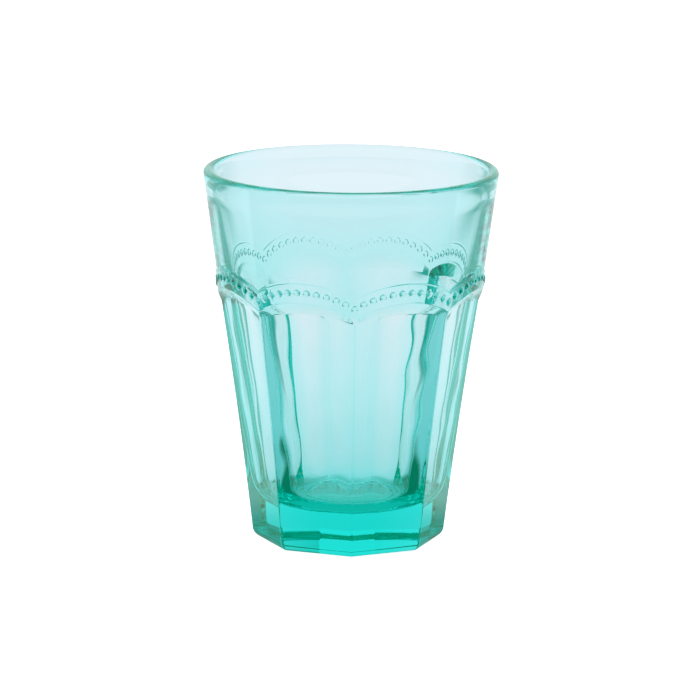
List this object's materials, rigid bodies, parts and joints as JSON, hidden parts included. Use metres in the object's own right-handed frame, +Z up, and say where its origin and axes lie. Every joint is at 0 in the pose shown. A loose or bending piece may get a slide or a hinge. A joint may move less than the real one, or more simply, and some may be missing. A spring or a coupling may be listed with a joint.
{
  "type": "rocks glass",
  "caption": "Tapered pressed-glass tumbler with flat panels on the lower body, a beaded scalloped band, a plain flared mouth and a thick foot.",
  "frame": {"origin": "middle of the foot, on the surface that the glass stands on", "axes": "+Z up the glass's axis towards the mouth, -Y towards a corner between two panels"},
  "size_m": [0.086, 0.086, 0.1097],
  "materials": {
    "aqua_glass": "clear aqua glass, fire-polished and glossy"
  },
  "bodies": {
    "root": {"tumbler": "aqua_glass"}
  },
  "joints": []
}
